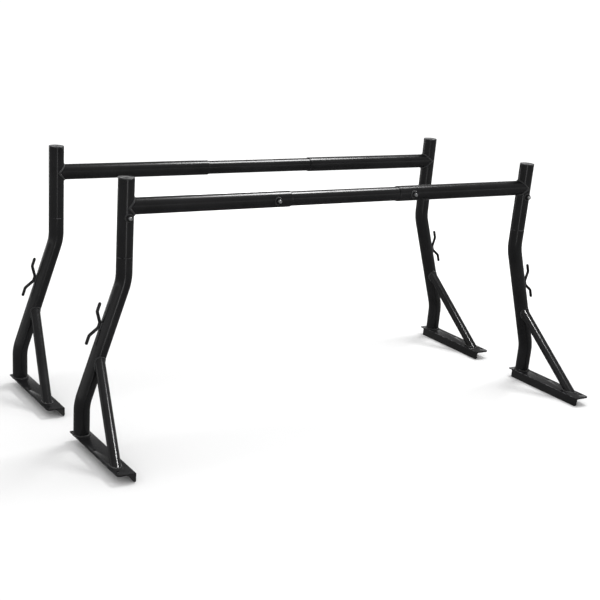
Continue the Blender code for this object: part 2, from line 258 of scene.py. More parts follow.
def beadTree():
    # weld bead: overlapping ripples laid along a path, each leaning out of the corner it fills
    tree, given, result = newTree("weldBead", [
        ("Ripple spacing", "Float", 0.002), ("Ripple length", "Float", 0.0016),
        ("Unevenness", "Float", 0.1), ("Seed", "Int", 1), ("Finish", "Material", None)])
    line = addNode(tree, "GeometryNodeMeshToCurve", (-5, 0))
    spaced = addNode(tree, "GeometryNodeResampleCurve", (-4, 0), mode="LENGTH")
    ripple = addNode(tree, "GeometryNodeMeshIcoSphere", (-4, 1))
    fill(ripple, {"Radius": 1.0, "Subdivisions": 2})
    soft = addNode(tree, "GeometryNodeSetShadeSmooth", (-3, 1))
    along = addNode(tree, "GeometryNodeInputTangent", (-5, 2))
    outward = addNode(tree, "GeometryNodeInputNamedAttribute", (-5, 3), data_type="FLOAT_VECTOR")
    fill(outward, {"Name": "outward"})
    turn = addNode(tree, "FunctionNodeAxesToRotation", (-4, 2), primary_axis="Z", secondary_axis="X")
    lean = addNode(tree, "FunctionNodeRotateRotation", (-3, 2), rotation_space="LOCAL")
    fill(lean, {"Rotate By": (0.0, math.radians(24.0), 0.0)})
    size = addNode(tree, "GeometryNodeInputNamedAttribute", (-5, 4), data_type="FLOAT")
    fill(size, {"Name": "size"})
    lowest = addNode(tree, "ShaderNodeMath", (-5, 5), operation="SUBTRACT")
    lowest.inputs[0].default_value = 1.0
    highest = addNode(tree, "ShaderNodeMath", (-5, 6), operation="ADD")
    highest.inputs[0].default_value = 1.0
    uneven = addNode(tree, "FunctionNodeRandomValue", (-4, 5), data_type="FLOAT")
    width = addNode(tree, "ShaderNodeMath", (-3, 4), operation="MULTIPLY")
    scale = addNode(tree, "ShaderNodeCombineXYZ", (-2, 4))
    place = addNode(tree, "GeometryNodeInstanceOnPoints", (-1, 0))
    real = addNode(tree, "GeometryNodeRealizeInstances", (1, 0))
    paint = addNode(tree, "GeometryNodeSetMaterial", (3, 0))
    wire(tree, given, line, "Geometry", "Mesh")
    wire(tree, line, spaced, "Curve", "Curve")
    wire(tree, given, spaced, "Ripple spacing", "Length")
    wire(tree, ripple, soft, "Mesh", "Geometry")
    wire(tree, along, turn, "Tangent", "Primary Axis")
    wire(tree, outward, turn, "Attribute", "Secondary Axis")
    wire(tree, turn, lean, "Rotation", "Rotation")
    wire(tree, given, lowest, "Unevenness", 1)
    wire(tree, given, highest, "Unevenness", 1)
    wire(tree, lowest, uneven, 0, 2)
    wire(tree, highest, uneven, 0, 3)
    wire(tree, given, uneven, "Seed", "Seed")
    wire(tree, size, width, "Attribute", 0)
    wire(tree, uneven, width, 1, 1)
    wire(tree, width, scale, 0, "X")
    wire(tree, width, scale, 0, "Y")
    wire(tree, given, scale, "Ripple length", "Z")
    wire(tree, spaced, place, "Curve", "Points")
    wire(tree, soft, place, "Geometry", "Instance")
    wire(tree, lean, place, "Rotation", "Rotation")
    wire(tree, scale, place, "Vector", "Scale")
    wire(tree, place, real, "Instances", "Geometry")
    wire(tree, real, paint, "Geometry", "Geometry")
    wire(tree, given, paint, "Finish", "Material")
    wire(tree, paint, result, "Geometry", "Geometry")
    return tree


sweptTube = sweepTree()
weldBead = beadTree()


def runTree(obj, tree, values, finishing=()):
    # runs a tree on an object, then any finishing modifiers, and gives back one plain mesh
    modifier = obj.modifiers.new(tree.name, "NODES")
    modifier.node_group = tree
    for item in tree.interface.items_tree:
        if item.item_type == "SOCKET" and item.in_out == "INPUT" and item.name in values:
            modifier[item.identifier] = values[item.name]
    for kind, settings in finishing:
        extra = obj.modifiers.new(kind.lower(), kind)
        for key, value in settings.items():
            setattr(extra, key, value)
    return plainMesh(obj)


def plainMesh(obj):
    bpy.context.view_layer.update()
    done = bpy.data.meshes.new_from_object(obj.evaluated_get(bpy.context.evaluated_depsgraph_get()))
    bpy.data.objects.remove(obj, do_unlink=True)
    return done


def looseObject(mesh):
    obj = bpy.data.objects.new(mesh.name, mesh)
    bpy.context.scene.collection.objects.link(obj)
    return obj


def hang(name, mesh, body, nodes=(), finish=None):
    # the finished piece: faces outward, place in its mesh, riding on its body
    mesh.name = name
    if finish:
        mesh.materials.clear()
        mesh.materials.append(finish)
    shell = bmesh.new()
    shell.from_mesh(mesh)
    if shell.calc_volume(signed=True) < 0:
        bmesh.ops.reverse_faces(shell, faces=shell.faces)
        shell.to_mesh(mesh)
    shell.free()
    obj = looseObject(mesh)
    obj.name = name
    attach(obj, body)
    if nodes:
        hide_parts(*nodes)
    return obj


def linePath(points, swell=None, closed=False):
    mesh = bpy.data.meshes.new("path")
    links = [(i, i + 1) for i in range(len(points) - 1)]
    if closed:
        links.append((len(points) - 1, 0))
    mesh.from_pydata(points, links, [])
    layer = mesh.attributes.new("swell", "FLOAT", "POINT")
    layer.data.foreach_set("value", swell or [1.0] * len(points))
    return mesh


def roundCorner(before, corner, after, radius, steps):
    back = (before - corner).normalized()
    ahead = (after - corner).normalized()
    half = back.angle(ahead) / 2
    centre = corner + (back + ahead).normalized() * (radius / math.sin(half))
    first = corner + back * (radius / math.tan(half)) - centre
    last = corner + ahead * (radius / math.tan(half)) - centre
    first, last = first.normalized(), last.normalized()
    return [centre + first.slerp(last, i / steps) * radius for i in range(steps + 1)]


def roundedPath(corners, radius, steps):
    path = [corners[0]]
    for before, corner, after in zip(corners, corners[1:], corners[2:]):
        path += roundCorner(before, corner, after, radius, steps)
    return path + [corners[-1]]


# tubes: one swept skin, given its wall and its softened ends

tube = dict(
    radius=0.02415, wall=0.0020, slipRadius=0.02185, facets=64,
    lip=0.0006, lipSteps=3, nearEnd=0.0015,    # the rounded ends, and a ring close to each of them
    edgeHighlight=0.0004,                             # faces narrower than this get the painted edge highlight
    copeDepth=0.010, sunk=0.0002,              # the stretch let in round a post, and how far it is let in
)


def turnsRound(count):
    return [math.tau * i / count for i in range(count)]


def supported(path):
    # a ring close to each end keeps the shading of the lip off the long run
    first = path[0].lerp(path[1], tube["nearEnd"] / (path[1] - path[0]).length)
    last = path[-1].lerp(path[-2], tube["nearEnd"] / (path[-2] - path[-1]).length)
    return [path[0], first] + path[1:-1] + [last, path[-1]]


def tubeMesh(path, radius, finish):
    obj = looseObject(linePath(supported(path)))
    return runTree(obj, sweptTube, {"Radius": radius, "Facets": tube["facets"], "Finish": finish}, [
        ("SOLIDIFY", dict(thickness=tube["wall"], offset=-1.0, use_even_offset=True, use_rim=True)),
        ("BEVEL", dict(width=tube["lip"], segments=tube["lipSteps"],
                       limit_method="ANGLE", angle_limit=math.radians(60))),
    ])


def markEdges(mesh, widest):
    # this face attribute is 1 on the narrow faces that round an edge, where the coat gets a painted highlight
    layer = mesh.attributes.new("edgeHighlightFaces", "FLOAT", "FACE")
    values = []
    for face in mesh.polygons:
        corners = [mesh.vertices[v].co for v in face.vertices]
        longest = max((a - b).length for a, b in zip(corners, corners[1:] + corners[:1]))
        values.append(1.0 if face.area / longest < widest else 0.0)
    layer.data.foreach_set("value", values)


def copeBar(mesh, postX, side):
    # the bar's outer end, square so far, is let in round the post
    end = max(side * v.co.x for v in mesh.vertices)
    centreY = sum(v.co.y for v in mesh.vertices) / len(mesh.vertices)
    for vertex in mesh.vertices:
        behind = end - side * vertex.co.x
        if behind < tube["copeDepth"]:
            y = vertex.co.y - centreY
            bite = math.sqrt(max(tube["radius"] ** 2 - y * y, 0.0))
            vertex.co.x = postX - side * (bite + behind - tube["sunk"])


for rack, facing in racks.items():
    for side, way in sides.items():
        prefix = f"{rack}_{side}"
        low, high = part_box(prefix + "_post_tube")
        middle = (low + high) / 2
        post = tubeMesh([Vector((middle.x, middle.y, low.z)), Vector((middle.x, middle.y, high.z))],
                        tube["radius"], blackCoat)
        markEdges(post, tube["edgeHighlight"])
        hang(f"postTube_{prefix}", post, prefix + "_post", [prefix + "_post_tube"])

        barLow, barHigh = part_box(prefix + "_side_bar")
        barMiddle = (barLow + barHigh) / 2
        inner = barLow.x if way > 0 else barHigh.x
        bar = tubeMesh([Vector((middle.x - way * 0.001, barMiddle.y, barMiddle.z)),
                        Vector((inner, barMiddle.y, barMiddle.z))], tube["radius"], blackCoat)
        copeBar(bar, middle.x, way)
        markEdges(bar, tube["edgeHighlight"])
        hang(f"sideBar_{prefix}", bar, prefix + "_post", [prefix + "_side_bar"])

        low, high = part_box(prefix + "_leg_spigot")
        middle = (low + high) / 2
        spigot = tubeMesh([Vector((middle.x, middle.y, low.z)), Vector((middle.x, middle.y, high.z))],
                          tube["slipRadius"], slideCoat)
        hang(f"legSpigot_{prefix}", spigot, prefix + "_leg", [prefix + "_leg_spigot"])
    low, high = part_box(rack + "_centre_bar")
    middle = (low + high) / 2
    centre = tubeMesh([Vector((low.x, middle.y, middle.z)), Vector((high.x, middle.y, middle.z))],
                      tube["slipRadius"], slideCoat)
    markEdges(centre, tube["edgeHighlight"])
    hang(f"centreBar_{rack}", centre, rack + "_centre", [rack + "_centre_bar"])
print("straight tubes: posts, side bars, spigots, centre bars")


# legs, bent out to the foot at two places

leg = dict(lowBendZ=0.126, highBendZ=0.490, bendRadius=0.140, bendSteps=14)


def legCorners(prefix, way):
    # foot, lower bend, upper bend and seam, on the tube's centre line
    low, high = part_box(prefix + "_leg_tube")
    footX = way * (max(abs(low.x), abs(high.x)) - tube["radius"])
    postX = way * (min(abs(low.x), abs(high.x)) + tube["radius"])
    y = (low.y + high.y) / 2
    return [Vector((footX, y, low.z)), Vector((footX, y, leg["lowBendZ"])),
            Vector((postX, y, leg["highBendZ"])), Vector((postX, y, high.z))]


for prefix, facing, way in uprights:
    path = roundedPath(legCorners(prefix, way), leg["bendRadius"], leg["bendSteps"])
    bent = tubeMesh(path, tube["radius"], blackCoat)
    markEdges(bent, tube["edgeHighlight"])
    hang(f"legTube_{prefix}", bent, prefix + "_leg", [prefix + "_leg_tube"])
print("legs bent")


# braces, cut to the plate below and to the leg above

lowPieces = []      # braces and feet, which a small lamp of their own picks out

brace = dict(radius=0.0159, wall=0.0018, facets=48, footBack=-0.248, topZ=0.2725, rings=6)


def braceLine(prefix, way):
    # its ends on the centre line, the leg's direction there and a point on the leg
    legEnd, lowBend, highBend = legCorners(prefix, way)[:3]
    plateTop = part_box(prefix + "_base_angle")[1].z
    share = (highBend.z - brace["topZ"]) / (highBend.z - lowBend.z)
    top = highBend.lerp(lowBend, share)
    bottom = Vector((legEnd.x, legEnd.y + brace["footBack"], plateTop))
    return bottom, top, (highBend - lowBend).normalized(), lowBend


def reachLeg(start, run, onLeg, legWay, radius):
    # how far along run from start the leg's skin is met
    gap = start - onLeg
    a = run - legWay * run.dot(legWay)
    b = gap - legWay * gap.dot(legWay)
    qa, qb, qc = a.dot(a), 2 * a.dot(b), b.dot(b) - radius * radius
    return (-qb - math.sqrt(max(qb * qb - 4 * qa * qc, 0.0))) / (2 * qa)


def braceRing(prefix, way, radius, legRadius, count):
    # for each angle round the brace: the point on the plate, the point on the leg, and the skin's normal
    bottom, top, legWay, onLeg = braceLine(prefix, way)
    run = (top - bottom).normalized()
    across = run.cross(Vector((1.0, 0.0, 0.0))).normalized()
    other = run.cross(across)
    ring = []
    for turn in turnsRound(count):
        normal = across * math.cos(turn) + other * math.sin(turn)
        start = bottom + normal * radius
        start -= run * ((start.z - bottom.z) / run.z)
        ring.append((start, start + run * reachLeg(start, run, onLeg, legWay, legRadius), normal))
    return ring


def braceMesh(prefix, way):
    mesh = bpy.data.meshes.new("brace")
    work = bmesh.new()
    loops = []
    for radius, order in ((brace["radius"], 1), (brace["radius"] - brace["wall"], -1)):
        ring = braceRing(prefix, way, radius, tube["radius"] - tube["sunk"], brace["facets"])
        for step in range(brace["rings"] + 1)[::order]:
            share = step / brace["rings"]
            loops.append([work.verts.new(low.lerp(high, share)) for low, high, normal in ring])
    for loop, following in zip(loops, loops[1:] + loops[:1]):
        for i in range(brace["facets"]):
            j = (i + 1) % brace["facets"]
            work.faces.new((loop[i], loop[j], following[j], following[i]))
    for face in work.faces:
        face.smooth = True
    work.to_mesh(mesh)
    work.free()
    mesh.set_sharp_from_angle(angle=math.radians(50))
    return mesh


for prefix, facing, way in uprights:
    lowPieces.append(hang(f"braceTube_{prefix}", braceMesh(prefix, way), prefix + "_leg",
                          [prefix + "_brace_tube"], finish=blackCoat))
print("braces coped")


# feet of rolled steel angle: plate along the rail, flange down its inboard side

foot = dict(
    thickness=0.004, heel=0.0010, toe=0.0016, root=0.0040,
    frontCorner=0.013, rearCorner=0.003, flangeCorner=0.009, flangeRear=0.015,
    hole=0.005, holeInset=0.0125, holeY=(-0.290, -0.128), rearHole=0.004, rearHoleInset=0.0085,
    edge=0.0012, edgeSteps=3, edgeHighlight=0.00062,    # rounded edges, and the width of face that counts as one and gets the painted edge highlight
    past=0.01,                                   # how far the cutting shapes stand out of the angle
)


def roundedOutline(corners, steps=6):
    # corners are (u, v, radius); a radius of 0 stays square
    outline = []
    for i, (u, v, radius) in enumerate(corners):
        here = Vector((u, v, 0.0))
        if radius == 0.0:
            outline.append(here)
            continue
        before = Vector((*corners[i - 1][:2], 0.0))
        after = Vector((*corners[(i + 1) % len(corners)][:2], 0.0))
        outline += roundCorner(before, here, after, radius, steps)
    return outline


def prism(outline, place, start, end):
    # an outline pushed from start to end; place(u, v, w) sets it in the scene
    work = bmesh.new()
    ends = [[work.verts.new(place(p.x, p.y, w)) for p in outline] for w in (start, end)]
    work.faces.new(ends[0])
    work.faces.new(ends[1])
    for i in range(len(outline)):
        j = (i + 1) % len(outline)
        work.faces.new((ends[0][i], ends[0][j], ends[1][j], ends[1][i]))
    bmesh.ops.recalc_face_normals(work, faces=work.faces)
    mesh = bpy.data.meshes.new("prism")
    work.to_mesh(mesh)
    work.free()
    return looseObject(mesh)


def footMesh(prefix, way):
    low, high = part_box(prefix + "_base_angle")
    axisY = legCorners(prefix, way)[0].y
    outer = high.x if way > 0 else low.x
    inner = low.x if way > 0 else high.x
    width = abs(outer - inner)
    thick = foot["thickness"]
    past = foot["past"]
    # rolled section, u out from the heel and v up
    section = roundedOutline([
        (0.0, high.z, foot["heel"]), (width, high.z, 0.0005), (width, high.z - thick, foot["toe"]),
        (thick, high.z - thick, foot["root"]), (thick, low.z, foot["toe"]), (0.0, low.z, 0.0005)], 4)
    bar = prism(section, lambda u, v, w: Vector((inner + way * u, w, v)), low.y, high.y)
    # plan: the outboard corners are rounded off
    plan = roundedOutline([
        (-past, low.y, 0.0), (width, low.y, foot["frontCorner"]),
        (width, high.y, foot["rearCorner"]), (-past, high.y, 0.0)])
    plan = prism(plan, lambda u, v, w: Vector((inner + way * u, v, w)), -past, high.z + past)
    under = high.z - thick - 0.0003
    # from the side: the flange's front corner is rounded and its rear end is cut short
    sideView = roundedOutline([
        (low.y - 0.001, high.z + past, 0.0), (low.y - 0.001, low.z + 0.014, 0.0), (low.y, low.z + 0.013, 0.0),
        (low.y, low.z, foot["flangeCorner"]), (axisY + foot["flangeRear"], low.z, foot["rearCorner"]),
        (axisY + foot["flangeRear"], under, 0.002), (high.y + 0.001, under, 0.0),
        (high.y + 0.001, high.z + past, 0.0)])
    profile = prism(sideView, lambda u, v, w: Vector((inner + way * w, u, v)), -past, width + past)
    tools = [(plan, "INTERSECT"), (profile, "INTERSECT")]
    holes = [(foot["holeInset"], axisY + y, foot["hole"]) for y in foot["holeY"]]
    holes.append((foot["rearHoleInset"], high.y - foot["rearHoleInset"], foot["rearHole"]))
    for inset, y, radius in holes:
        x = outer - way * inset
        circle = [Vector((radius * math.cos(turn), radius * math.sin(turn), 0.0)) for turn in turnsRound(32)]
        drill = prism(circle, lambda u, v, w, x=x, y=y: Vector((x + u, y + v, w)), 0.02, 0.05)
        tools.append((drill, "DIFFERENCE"))
    for tool, operation in tools:
        cut = bar.modifiers.new("cut", "BOOLEAN")
        cut.operation = operation
        cut.solver = "EXACT"
        cut.object = tool
    soften = bar.modifiers.new("soften", "BEVEL")
    soften.width = foot["edge"]
    soften.segments = foot["edgeSteps"]
    soften.limit_method = "ANGLE"
    soften.angle_limit = math.radians(40)
    mesh = plainMesh(bar)
    for tool, operation in tools:
        bpy.data.objects.remove(tool, do_unlink=True)
    markEdges(mesh, foot["edgeHighlight"])
    mesh.shade_smooth()
    mesh.set_sharp_from_angle(angle=math.radians(32))
    return mesh


for prefix, facing, way in uprights:
    lowPieces.append(hang(f"footAngle_{prefix}", footMesh(prefix, way), prefix + "_leg",
                          [prefix + "_base_angle"], finish=blackCoat))
print("feet cut from angle")


# rope cleats: a round bar bent to two horns

cleat = dict(
    radius=0.0048, facets=24, z=0.352, standoff=0.0245, halfLength=0.0655, knee=0.037,
    seat=0.008, seatGap=0.0003, bend=0.012, bendSteps=8, tipSteps=5, tipGirth=0.08,
)


def cleatAxes(prefix, way):
    # its middle on the leg's centre line, the way up the leg and the way out of it
    lowBend, highBend = legCorners(prefix, way)[1:3]
    share = (highBend.z - cleat["z"]) / (highBend.z - lowBend.z)
    up = (highBend - lowBend).normalized()
    return highBend.lerp(lowBend, share), up, Vector((way * up.z, 0.0, -way * up.x))


def cleatMesh(prefix, way):
    middle, up, out = cleatAxes(prefix, way)
    seatOut = tube["radius"] + cleat["seatGap"] + cleat["radius"]
    hornOut = tube["radius"] + cleat["standoff"]
    shape = [(hornOut, cleat["halfLength"]), (hornOut, cleat["knee"]), (seatOut, cleat["seat"]),
             (seatOut, -cleat["seat"]), (hornOut, -cleat["knee"]), (hornOut, -cleat["halfLength"])]
    corners = [middle + out * away + up * along for away, along in shape]
    bent = roundedPath(corners, cleat["bend"], cleat["bendSteps"])
    # each tip is rounded over its last radius
    steps = cleat["tipSteps"]
    tip = [(1 - math.cos(math.pi / 2 * i / steps), math.sin(math.pi / 2 * i / steps)) for i in range(steps + 1)]
    path, swell = [], []
    for end, following in ((bent[0], bent[1]), (bent[-1], bent[-2])):
        inward = (following - end).normalized()
        points = [end + inward * cleat["radius"] * depth for depth, girth in tip]
        girths = [max(girth, cleat["tipGirth"]) for depth, girth in tip]
        if not path:
            path, swell = points + bent[1:-1], girths + [1.0] * (len(bent) - 2)
        else:
            path, swell = path + points[::-1], swell + girths[::-1]
    obj = looseObject(linePath(path, swell))
    return runTree(obj, sweptTube, {
        "Radius": cleat["radius"], "Facets": cleat["facets"], "Solid ends": True, "Finish": blackCoat})


for prefix, facing, way in uprights:
    hang(f"ropeCleat_{prefix}", cleatMesh(prefix, way), prefix + "_leg", [prefix + "_rope_cleat"])
print("cleats bent")


# hex nuts welded on the skin, and the socket set screws through them

nut = dict(acrossFlats=0.017, crown=0.0158, bore=0.0053, perFlat=8, lead=0.0007)
screw = dict(
    radius=0.0050, root=0.00455, pitch=0.0015, ringsPerPitch=8, facets=32, chamfer=0.0009,
    socketFlats=0.0050, socketDepth=0.0050, socketLead=0.0003, socketPoint=0.0003,
    cup=0.0028, cupPoint=0.0006, cupDepth=0.0012,
)


def hexRadius(acrossFlats, turn):
    return acrossFlats / 2 / math.cos((turn % (math.pi / 3)) - math.pi / 6)


def ringMesh(rings, closed=False):
    # rings of points in order; each has the same count, and joins the next
    work = bmesh.new()
    loops = [[work.verts.new(p) for p in ring] for ring in rings]
    pairs = list(zip(loops, loops[1:]))
    if closed:
        pairs.append((loops[-1], loops[0]))
    for loop, following in pairs:
        for i in range(len(loop)):
            j = (i + 1) % len(loop)
            work.faces.new((loop[i], loop[j], following[j], following[i]))
    if not closed:
        work.faces.new(loops[0])
        work.faces.new(loops[-1])
    bmesh.ops.recalc_face_normals(work, faces=work.faces)
    for face in work.faces:
        face.smooth = True
    mesh = bpy.data.meshes.new("rings")
    work.to_mesh(mesh)
    work.free()
    return mesh


def nutMesh(seat, facing, height):
    # seat is the middle of the nut's underside
    def flats(turn):
        return hexRadius(nut["acrossFlats"], turn)

    def ring(radiusAt, depthAt):
        points = []
        for turn in turnsRound(nut["perFlat"] * 6):
            r = radiusAt(turn)
            points.append(seat + Vector((r * math.cos(turn), facing * depthAt(r), r * math.sin(turn))))
        return points

    crown = nut["crown"] / 2
    chamfer = math.tan(math.radians(30))
    rings = [
        ring(lambda t: nut["bore"], lambda r: 0.0),
        ring(flats, lambda r: 0.0),
        ring(flats, lambda r: height - max(r - crown, 0.0) * chamfer),
        ring(lambda t: min(crown, flats(t)), lambda r: height),
        ring(lambda t: nut["bore"] + nut["lead"], lambda r: height),
        ring(lambda t: nut["bore"], lambda r: height - nut["lead"]),
    ]
    mesh = ringMesh(rings, closed=True)
    mesh.set_sharp_from_angle(angle=math.radians(24))
    return mesh


def screwMesh(tip, end, facing):
    # threaded from tip to end along Y, cup point inside, hex socket outside
    length = (end - tip).length

    def ring(along, radiusAt):
        points = []
        for turn in turnsRound(screw["facets"]):
            r = radiusAt(turn)
            points.append(tip + Vector((r * math.cos(turn), facing * along, r * math.sin(turn))))
        return points

    def threadRing(along):
        fade = min(along, length - along) / screw["chamfer"]
        limit = screw["radius"] - screw["chamfer"] * max(1.0 - fade, 0.0)

        def radiusAt(turn):
            phase = (along / screw["pitch"] - facing * turn / math.tau) % 1.0
            flank = abs(2 * phase - 1)
            crest = min(max(1.5 * flank - 0.2, 0.0), 1.0)
            return min(screw["root"] + (screw["radius"] - screw["root"]) * crest, limit)

        return ring(along, radiusAt)

    def socket(turn):
        return hexRadius(screw["socketFlats"], turn)

    steps = int(length / screw["pitch"] * screw["ringsPerPitch"])
    bottom = length - screw["socketDepth"]
    rings = [ring(screw["cupDepth"], lambda t: screw["cupPoint"]), ring(0.0, lambda t: screw["cup"])]
    rings += [threadRing(length * i / steps) for i in range(steps + 1)]
    rings.append(ring(length, lambda t: socket(t) + screw["socketLead"]))
    rings.append(ring(length - screw["socketLead"], socket))
    rings.append(ring(bottom, socket))
    rings.append(ring(bottom - screw["cupDepth"], lambda t: screw["socketPoint"]))
    mesh = ringMesh(rings)
    mesh.set_sharp_from_angle(angle=math.radians(38))
    return mesh


for prefix, facing, way in uprights:
    for spot in ("post", "bar"):
        low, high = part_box(f"{prefix}_{spot}_set_nut")
        middle = (low + high) / 2
        seat = Vector((middle.x, low.y if facing > 0 else high.y, middle.z))
        hang(f"hexNut_{spot}_{prefix}", nutMesh(seat, facing, high.y - low.y), prefix + "_post",
             [f"{prefix}_{spot}_set_nut"], finish=blackCoat)
        low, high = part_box(f"{prefix}_{spot}_set_bolt")
        tip = Vector((middle.x, low.y if facing > 0 else high.y, middle.z))
        end = Vector((middle.x, high.y if facing > 0 else low.y, middle.z))
        hang(f"setScrew_{spot}_{prefix}", screwMesh(tip, end, facing), f"{prefix}_{spot}_bolt",
             [f"{prefix}_{spot}_set_bolt"], finish=brightScrew)
print("nuts and set screws turned")


# plugs in the tops of the posts

plug = dict(
    facets=64, shoulder=0.0009, shoulderSteps=5, dish=0.0005, dishRadius=0.0205, dishSlope=0.003,
    skirtWall=0.0018, skirtRadius=0.02185, skirtLead=0.0006,
    gate=0.0016, gateRise=0.0002,    # the moulding mark in the middle of the top
)


def plugMesh(prefix):
    low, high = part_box(prefix + "_post_cap")
    centre = (low + high) / 2
    radius = (high.x - low.x) / 2
    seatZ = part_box(prefix + "_post_tube")[1].z + 0.0003
    dishZ = high.z - plug["dish"]
    shoulder, gate, skirt = plug["shoulder"], plug["gate"], plug["skirtRadius"]
    hollow = skirt - plug["skirtWall"]
    profile = [(gate * 0.2, dishZ + plug["gateRise"]), (gate, dishZ + plug["gateRise"]), (gate * 1.2, dishZ)]
    profile += [(plug["dishRadius"] - plug["dishSlope"], dishZ), (plug["dishRadius"], high.z)]
    for step in range(plug["shoulderSteps"] + 1):
        turn = math.pi / 2 * step / plug["shoulderSteps"]
        profile.append((radius - shoulder + shoulder * math.sin(turn),
                        high.z - shoulder + shoulder * math.cos(turn)))
    profile += [(radius, seatZ), (skirt, seatZ), (skirt, low.z + 0.001), (skirt - plug["skirtLead"], low.z),
                (hollow, low.z), (hollow, seatZ), (0.0004, seatZ)]
    rings = [[Vector((centre.x + r * math.cos(turn), centre.y + r * math.sin(turn), z))
              for turn in turnsRound(plug["facets"])] for r, z in profile]
    mesh = ringMesh(rings)
    mesh.set_sharp_from_angle(angle=math.radians(35))
    return mesh


for prefix, facing, way in uprights:
    hang(f"postPlug_{prefix}", plugMesh(prefix), prefix + "_post", [prefix + "_post_cap"],
         finish=plugPlastic)
print("plugs in")


# weld beads, one run of ripples for each joint

bead = dict(
    tubeSize=0.0038, braceSize=0.0032, nutSize=0.0031, cleatSize=0.0028,
    spacing=0.0021, length=0.0019, unevenness=0.11,
    nutRing=0.0098, cleatRun=0.0095, cleatLift=0.0006,
    tubePoints=96, nutPoints=64, bracePoints=72, cleatPoints=13,
)


def runsToMesh(runs):
    # runs are (points, outward directions, size, closed), laid in one mesh of edges
    mesh = bpy.data.meshes.new("runs")
    points, links, outs, dimensions = [], [], [], []
    for places, outwards, size, closed in runs:
        first = len(points)
        points += places
        outs += [c for o in outwards for c in o.normalized()]
        dimensions += [size] * len(places)
        links += [(first + i, first + i + 1) for i in range(len(places) - 1)]
        if closed:
            links.append((first + len(places) - 1, first))
    mesh.from_pydata(points, links, [])
    mesh.attributes.new("outward", "FLOAT_VECTOR", "POINT").data.foreach_set("vector", outs)
    mesh.attributes.new("size", "FLOAT", "POINT").data.foreach_set("value", dimensions)
    return mesh


def postRuns(prefix, facing, way):
    # round the bar where it meets the post, and round each nut
    radius = tube["radius"]
    low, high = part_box(prefix + "_post_tube")
    postX, y0 = (low.x + high.x) / 2, (low.y + high.y) / 2
    low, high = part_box(prefix + "_side_bar")
    barZ = (low.z + high.z) / 2
    places, outs = [], []
    for turn in turnsRound(bead["tubePoints"]):
        y, z = radius * math.cos(turn), radius * math.sin(turn)
        bite = math.sqrt(max(radius * radius - y * y, 0.0))
        out = Vector((-way * bite, y, 0.0)) / radius + Vector((0.0, y, z)) / radius
        places.append(Vector((postX - way * bite, y0 + y, barZ + z)))
        outs.append(out if out.length > 0.01 else Vector((0.0, y, 0.0)))
    runs = [(places, outs, bead["tubeSize"], True)]
    for spot, upright in (("post", True), ("bar", False)):
        low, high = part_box(f"{prefix}_{spot}_set_nut")
        centre = (low + high) / 2
        places, outs = [], []
        for turn in turnsRound(bead["nutPoints"]):
            dx, dz = bead["nutRing"] * math.cos(turn), bead["nutRing"] * math.sin(turn)
            off = dx if upright else dz
            depth = math.sqrt(radius * radius - off * off)
            skin = Vector((dx, facing * depth, 0.0)) if upright else Vector((0.0, facing * depth, dz))
            places.append(Vector((centre.x + dx, y0 + facing * depth, centre.z + dz)))
            outs.append(skin.normalized() + Vector((dx, 0.0, dz)).normalized())
        runs.append((places, outs, bead["nutSize"], True))
    return runs


def legRuns(prefix, way):
    # the leg and the brace on the plate, the brace on the leg, and the cleat's seat
    footPoint = legCorners(prefix, way)[0]
    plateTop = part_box(prefix + "_base_angle")[1].z
    places, outs = [], []
    for turn in turnsRound(bead["tubePoints"]):
        ray = Vector((math.cos(turn), math.sin(turn), 0.0))
        places.append(Vector((footPoint.x, footPoint.y, plateTop)) + ray * tube["radius"])
        outs.append(ray + Vector((0.0, 0.0, 1.0)))
    runs = [(places, outs, bead["tubeSize"], True)]
    ring = braceRing(prefix, way, brace["radius"], tube["radius"], bead["bracePoints"])
    legWay, onLeg = braceLine(prefix, way)[2:]
    up = Vector((0.0, 0.0, 1.0))
    plateOuts = [normal + up for low, high, normal in ring]
    runs.append(([low for low, high, normal in ring], plateOuts, bead["braceSize"], True))
    legOuts = []
    for low, high, normal in ring:
        away = high - onLeg
        legOuts.append(normal + (away - legWay * away.dot(legWay)).normalized())
    runs.append(([high for low, high, normal in ring], legOuts, bead["braceSize"], True))
    middle, along, out = cleatAxes(prefix, way)
    across = along.cross(out)
    count = bead["cleatPoints"]
    for edge in (-1, 1):
        line = middle + out * (tube["radius"] + bead["cleatLift"]) + across * edge * cleat["radius"] * 0.95
        places = [line + along * bead["cleatRun"] * (i / (count // 2) - 1) for i in range(count)]
        runs.append((places, [out + across * edge] * count, bead["cleatSize"], False))
    return runs


for prefix, facing, way in uprights:
    for part, runs in (("post", postRuns(prefix, facing, way)), ("leg", legRuns(prefix, way))):
        welds = runTree(looseObject(runsToMesh(runs)), weldBead, {
            "Ripple spacing": bead["spacing"], "Ripple length": bead["length"],
            "Unevenness": bead["unevenness"],
            "Seed": 3 + (facing > 0) * 7 + (way > 0) * 3 + (part == "leg"), "Finish": weldCoat})
        hang(f"weldBeads_{part}_{prefix}", welds, f"{prefix}_{part}")
print("welds laid")


# floor, lights and camera

floor = dict(
    size=40.0, near=0.74, far=0.96, reach=(1.0, 3.6),    # shades of paint, and where one turns to the other
)


